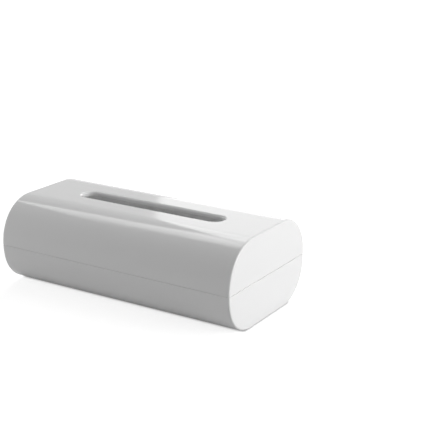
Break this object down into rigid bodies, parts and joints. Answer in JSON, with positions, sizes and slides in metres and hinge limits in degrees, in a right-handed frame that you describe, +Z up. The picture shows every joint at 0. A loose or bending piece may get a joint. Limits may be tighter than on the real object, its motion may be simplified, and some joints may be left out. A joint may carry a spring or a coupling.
{
  "type": "tissue box holder",
  "caption": "Long two-part tissue box holder with rounded shoulders and bulging sides, flat upright ends and a round-ended slot along the middle of its flat top.",
  "frame": {"origin": "on the surface that the holder stands on, at the middle of its footprint", "axes": "+X along the length, +Y across the width, +Z up, towards the slot"},
  "size_m": [0.262, 0.138, 0.086],
  "materials": {
    "gloss_white": "glossy white moulded plastic"
  },
  "bodies": {
    "root": {"upper_shell": "gloss_white", "lower_shell": "gloss_white"}
  },
  "joints": []
}
